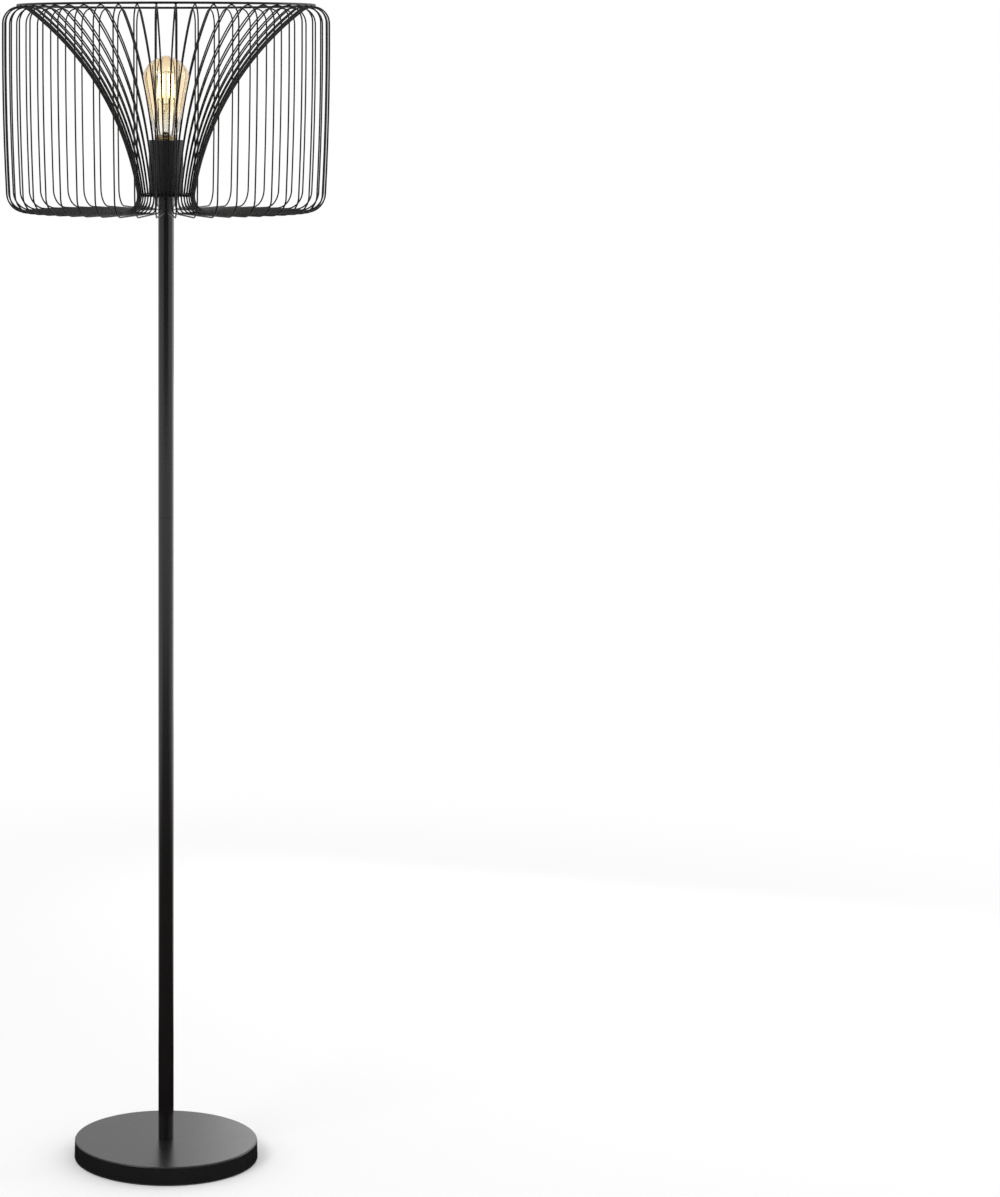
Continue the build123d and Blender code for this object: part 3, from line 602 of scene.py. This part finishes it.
# %% Shape, finish and copy a piece
SAME_POINT = 0.001 * MM  # points that are nearer than this are one


def pick(piece, test):
    """In edit mode, selects the faces whose normal passes a test."""
    shape = bmesh.from_edit_mesh(piece.data)
    for part in (*shape.verts, *shape.edges, *shape.faces):
        part.select = False
    for face in shape.faces:
        if test(face.normal):
            face.select_set(True)
    bmesh.update_edit_mesh(piece.data)


def cut_flat(point, normal):
    """In edit mode, cuts away what lies behind a plane, and fills the cut."""
    bpy.ops.mesh.bisect(plane_co=point, plane_no=normal, clear_inner=True, use_fill=True)


def roughen(offset, seed):
    """In edit mode, moves every point a little."""
    bpy.ops.mesh.select_all(action="SELECT")
    bpy.ops.transform.vertex_random(offset=offset, seed=seed)


def finish_piece(piece, finish, body, angle):
    """Settles a piece's mesh, and gives it finish and body. Edges over angle stay sharp."""
    alone(piece)
    bpy.ops.object.transform_apply(location=True, rotation=True, scale=True)
    bpy.ops.object.mode_set(mode="EDIT")
    bpy.ops.mesh.select_all(action="SELECT")
    bpy.ops.mesh.remove_doubles(threshold=SAME_POINT)
    bpy.ops.mesh.normals_make_consistent(inside=False)
    bpy.ops.object.mode_set(mode="OBJECT")
    for modifier in list(piece.modifiers):
        bpy.ops.object.modifier_apply(modifier=modifier.name)
    bpy.ops.object.shade_smooth_by_angle(angle=math.radians(angle))
    piece.data.materials.clear()
    piece.data.materials.append(finishes[finish])
    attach(piece, body)
    print(piece.name, "has", len(piece.data.polygons), "faces")


def copies_round(piece, angles, sizes):
    """Copies a piece round the Z axis, each copy with its own mesh, and joins them all."""
    copies = []
    for angle, size in zip(angles, sizes):
        alone(piece)
        bpy.ops.object.duplicate()
        copy = bpy.context.object
        copy.scale = [a * b for a, b in zip(piece.scale, size)]
        copy.matrix_world = Matrix.Rotation(angle, 4, "Z") @ copy.matrix_basis
        copies.append(copy)
    bpy.data.objects.remove(piece)
    alone(copies[0])
    for copy in copies:
        copy.select_set(True)
    bpy.ops.object.join()
    return bpy.context.object


print("modelling tools ready")

# %% [markdown]
# ## Weld beads
# Every loop is held twice: its upright touches the rim of the neck plate, and its top carries the
# ring. Both joints are spot welds that squeeze out small beads, painted over with the rest. The
# wires stand at equal angles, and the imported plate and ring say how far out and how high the
# joints are, so nothing has to be measured by eye.

# %% Where the wires stand
WIRES = 50
FRONT = -90  # degrees, and the front lies midway between two wires

wire_angles = [math.radians(FRONT + 360 / WIRES * (n + 0.5)) for n in range(WIRES)]
plate_low, plate_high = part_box("cage_neck_plate")
ring_low, ring_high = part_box("cage_top_ring")
print("plate radius", round(plate_high.x, 4), "ring top", round(ring_high.z, 4))

# %% [markdown]
# A bead is a ball that is squashed, cut flat where it sits, and roughened a little. It is modelled
# once and copied to all fifty wires, each copy a little different in size, because no two welds
# are alike. The neck plate has a row above and a row below, and the ring has one underneath.

# %% Model a bead and copy it round
BEAD_ROUGHNESS = 0.09  # how far a bead's points move, as a part of its radius
BEAD_SIZES = (0.8, 1.15)  # the least and the most that a bead is scaled
PLATE_BEAD_IN = 0.2 * MM  # how far inside the plate's rim a bead's middle lies
PLATE_BEAD_OFF = 0.1 * MM  # and how far off the plate's face
RING_BEAD_IN = 1.78 * MM  # the ring's outside to the line where it rests on the wires
RING_BEAD_UP = 0.05 * MM


def weld_row(name, place, size, seed, cut):
    """Fifty beads of that size, one to a wire, at a place given for the wire on +X.

    Each is cut flat below its middle, at cut times its radius.
    """
    bead = start(
        bpy.ops.mesh.primitive_ico_sphere_add, name, subdivisions=2, radius=1, location=place
    )
    bpy.ops.object.mode_set(mode="EDIT")
    cut_flat((place[0], place[1], place[2] - cut), (0, 0, 1))
    roughen(BEAD_ROUGHNESS, seed)
    bpy.ops.object.mode_set(mode="OBJECT")
    bead.scale = size
    chance = random.Random(seed)
    sizes = [[chance.uniform(*BEAD_SIZES) for _ in range(3)] for _ in wire_angles]
    row = copies_round(bead, wire_angles, sizes)
    row.name = name
    finish_piece(row, "wire_paint", "stand", angle=60)


weld_row(
    "neck_welds",
    (plate_high.x - PLATE_BEAD_IN, 0, plate_high.z + PLATE_BEAD_OFF),
    (1.5 * MM, 1.9 * MM, 0.8 * MM),
    seed=3,
    cut=0.35,
)
weld_row(
    "neck_welds_under",
    (plate_high.x - PLATE_BEAD_IN, 0, plate_low.z - PLATE_BEAD_OFF),
    (1.4 * MM, 1.8 * MM, 0.7 * MM),
    seed=5,
    cut=0.9,
)
weld_row(
    "ring_welds",
    (ring_high.x - RING_BEAD_IN, 0, ring_low.z + RING_BEAD_UP),
    (1.2 * MM, 2.1 * MM, 0.8 * MM),
    seed=8,
    cut=0.9,
)

# %% [markdown]
# ## The glass envelope
# The bulb is blown into a mould, so its outline is one smooth curve: it leaves the cap in a round
# shoulder, widens along a straight flank, turns over in a wide crown and ends in a small nose
# where the mould closed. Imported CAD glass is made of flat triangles, and glass shows each of them
# as a broken reflection. So the outline is drawn again as a Bezier curve, with a handle on each
# side of every point. Where two neighbouring slopes agree, the glass runs on without a crease.

# %% Draw the outline
# Radius and height above the cap's tip in mm, the curve's slope there in degrees, and how far
# its handles reach back and ahead, in mm.
OUTLINE = (
    (12.5, 26.6, 90, 0.5, 0.5),
    (12.5, 29.0, 88, 0.5, 0.3),
    (17.6, 36.5, 78, 4.2, 8.0),
    (31.0, 95.5, 77, 8.0, 4.0),
    (32.35, 107.5, 90, 4.0, 13.1),
    (11.5, 136.3, 161, 13.1, 2.0),
    (5.0, 139.0, 157, 2.0, 1.6),
    (0.0, 140.0, 180, 2.2, 0.5),
)
OUTLINE_STEPS = 12  # straight pieces from one point of the outline to the next

envelope = start(bpy.ops.curve.primitive_bezier_curve_add, "glass_envelope", location=(0, 0, 0))
outline = envelope.data.splines[0]
outline.bezier_points.add(len(OUTLINE) - len(outline.bezier_points))
for point, (radius, rise, slope, back, ahead) in zip(outline.bezier_points, OUTLINE):
    spot = Vector((radius * MM, 0, bulb_tip + rise * MM))
    along = Vector((math.cos(math.radians(slope)), 0, math.sin(math.radians(slope))))
    point.handle_left_type = point.handle_right_type = "FREE"
    point.co = spot
    point.handle_left = spot - along * back * MM
    point.handle_right = spot + along * ahead * MM
envelope.data.resolution_u = OUTLINE_STEPS
bpy.ops.object.convert(target="MESH")
envelope = bpy.context.object
print("outline of", len(envelope.data.vertices), "points")

# %% [markdown]
# The mould turns the hot glass, and so does the model: the outline is spun once round the axis in
# small steps, and its seam is merged. Spinning leaves a skin without thickness, which would bend
# light like a solid lump, so a Solidify modifier gives it a thin wall on the inside.

# %% Spin the outline
SPIN_STEPS = 96
GLASS_WALL = 0.8 * MM
INWARDS = -1

bpy.ops.object.mode_set(mode="EDIT")
bpy.ops.mesh.select_all(action="SELECT")
bpy.ops.mesh.spin(steps=SPIN_STEPS, angle=math.tau, center=(0, 0, 0), axis=(0, 0, 1))
bpy.ops.object.mode_set(mode="OBJECT")
wall = envelope.modifiers.new("wall", "SOLIDIFY")
wall.thickness = GLASS_WALL
wall.offset = INWARDS
finish_piece(envelope, "amber_glass", "bulb", angle=60)
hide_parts("bulb_glass")
widest = 2 * max(vert.co.xy.length for vert in envelope.data.vertices)
print("envelope", round(widest / MM, 1), "mm across")

# %% [markdown]
# ## Clips on the filaments
# Both ends of a stick are gripped by a folded metal clip, which carries the current in and holds
# the stick in its wire. A clip starts as a cylinder that leans as its stick does, its outer end is
# inset and pushed in, and its edge is bevelled. It is then copied round to the other sticks.

# %% Model the filament clips
STICKS = 4
STICK_TURN = math.radians(20)
FOOT_CIRCLE = 11.5 * MM
TOP_CIRCLE = 10.0 * MM
CLIP_RADIUS = 1.35 * MM
CLIP_LENGTH = 2.6 * MM
CLIP_IN = CLIP_LENGTH * 0.3  # how far inside its stick's end a clip's middle lies
CLIP_RIM = 0.4 * MM  # the width left round the inset end
CLIP_DIP = 0.3 * MM  # how deep that end is pushed in
CLIP_BEVEL = 0.12 * MM
END_FACE = 0.9  # the normal of a clip's end rises at least this much

lean = math.atan2(TOP_CIRCLE - FOOT_CIRCLE, FILAMENT_TOP - FILAMENT_FOOT)
stick_angles = [STICK_TURN + n * math.tau / STICKS for n in range(STICKS)]


def clip_row(name, circle, height, outward):
    """A clip at one end of each stick. Outward is 1 at the top and -1 at the foot."""
    clip = start(
        bpy.ops.mesh.primitive_cylinder_add,
        name,
        vertices=16,
        radius=CLIP_RADIUS,
        depth=CLIP_LENGTH,
        location=(circle, 0, height),
        rotation=(0, lean, 0),
    )
    bpy.ops.object.mode_set(mode="EDIT")
    pick(clip, lambda normal: normal.z * outward > END_FACE)
    bpy.ops.mesh.inset(thickness=CLIP_RIM)
    bpy.ops.transform.translate(value=(0, 0, -CLIP_DIP * outward))
    bpy.ops.object.mode_set(mode="OBJECT")
    edge = clip.modifiers.new("edge", "BEVEL")
    edge.width = CLIP_BEVEL
    edge.segments = 2
    edge.limit_method = "ANGLE"
    bpy.ops.object.modifier_apply(modifier=edge.name)
    row = copies_round(clip, stick_angles, [(1, 1, 1)] * STICKS)
    row.name = name
    finish_piece(row, "nickel_wire", "bulb", angle=40)


clip_row("filament_clips_top", TOP_CIRCLE, FILAMENT_TOP - CLIP_IN, 1)
clip_row("filament_clips_foot", FOOT_CIRCLE, FILAMENT_FOOT + CLIP_IN, -1)

# %% [markdown]
# ## Cement and solder on the cap
# The glass is set in the brass collar with a pale cement, of which a thin line shows all round. It
# starts as a circle, whose edge is extruded and resized in steps along the line's section, as a
# hand would pull it. A bridge between the first edge and the last closes it underneath.

# %% Model the cement line
# Radius and height above the cement's foot, in mm.
CEMENT_SECTION = ((13.05, 0.0), (12.95, 0.35), (12.75, 0.55), (12.53, 0.62), (12.53, 0.0))
CEMENT_FOOT = collar_top - 0.1 * MM

cement = start(
    bpy.ops.mesh.primitive_circle_add,
    "cap_cement",
    vertices=72,
    radius=CEMENT_SECTION[0][0] * MM,
    location=(0, 0, CEMENT_FOOT),
)
bpy.ops.object.mode_set(mode="EDIT")
for (old_radius, old_rise), (new_radius, new_rise) in zip(CEMENT_SECTION, CEMENT_SECTION[1:]):
    rise = (new_rise - old_rise) * MM
    bpy.ops.mesh.extrude_region_move(TRANSFORM_OT_translate={"value": (0, 0, rise)})
    bpy.ops.transform.resize(value=(new_radius / old_radius, new_radius / old_radius, 1))
bpy.ops.mesh.select_mode(type="EDGE")
bpy.ops.mesh.select_all(action="DESELECT")
bpy.ops.mesh.select_non_manifold()
bpy.ops.mesh.bridge_edge_loops()
bpy.ops.mesh.select_mode(type="FACE")
bpy.ops.object.mode_set(mode="OBJECT")
moulding("cement", (0.62, 0.58, 0.50), 0.85, 0.3 * MM, 0.05 * MM, mirror=0.3)
finish_piece(cement, "cement", "bulb", angle=35)

# %% [markdown]
# One of the bulb's two inner wires is brought out over the collar's edge and soldered there, which
# leaves a bright drop on its side. The drop is a sphere that is cut where it lies on the brass and
# flattened, and its points are moved a little, because solder never sets quite round.

# %% Model the solder on the collar
COLLAR_RADIUS = 13.2 * MM
SOLDER_OUT = COLLAR_RADIUS - 0.1 * MM  # how far out the drop's middle lies
SOLDER_DOWN = 0.5 * MM  # how far below the collar's top
SOLDER_SIZE = (0.7 * MM, 1.9 * MM, 1.0 * MM)
SOLDER_CUT = 0.5  # how far inside its middle the drop is cut, times its radius
SOLDER_TURN = math.radians(-62)
SOLDER_ROUGHNESS = 0.06  # how far its points move, as a part of its radius

solder_drop = start(
    bpy.ops.mesh.primitive_uv_sphere_add,
    "collar_solder",
    segments=14,
    ring_count=9,
    radius=1,
    location=(SOLDER_OUT, 0, collar_top - SOLDER_DOWN),
)
bpy.ops.object.mode_set(mode="EDIT")
cut_flat((SOLDER_OUT - SOLDER_CUT, 0, 0), (1, 0, 0))
roughen(SOLDER_ROUGHNESS, seed=4)
bpy.ops.object.mode_set(mode="OBJECT")
solder_drop.scale = SOLDER_SIZE
solder_drop.matrix_world = Matrix.Rotation(SOLDER_TURN, 4, "Z") @ solder_drop.matrix_basis
finish_piece(solder_drop, "solder", "bulb", angle=60)
